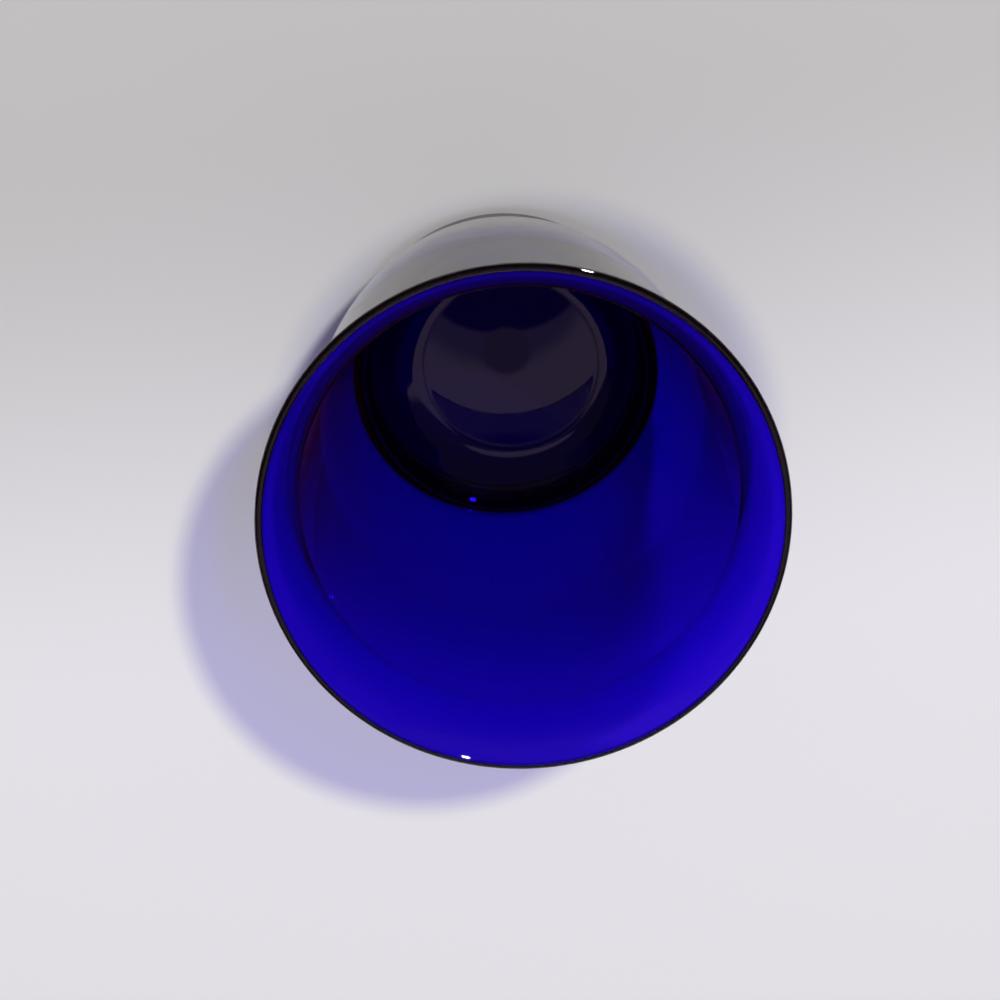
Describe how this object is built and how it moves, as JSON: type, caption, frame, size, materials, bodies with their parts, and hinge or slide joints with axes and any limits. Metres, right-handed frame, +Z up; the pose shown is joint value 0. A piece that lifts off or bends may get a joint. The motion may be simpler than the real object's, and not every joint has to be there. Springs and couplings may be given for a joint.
{
  "type": "glass candle holder",
  "caption": "Open tumbler-shaped candle holder of cobalt-blue blown glass, with a flared lip and a thick glass foot, that holds a candle on its flat inner floor.",
  "frame": {"origin": "centre of the underside, on the plane that the holder stands on", "axes": "+Z up along the axis of the bowl, out of the mouth; X and Y are free, because the holder is round"},
  "size_m": [0.1, 0.1, 0.108],
  "materials": {
    "cobalt_glass": "clear fire-polished glass, violet-blue where thin and nearly black where thick"
  },
  "bodies": {
    "root": {"bowl": "cobalt_glass", "foot": "cobalt_glass"}
  },
  "joints": []
}
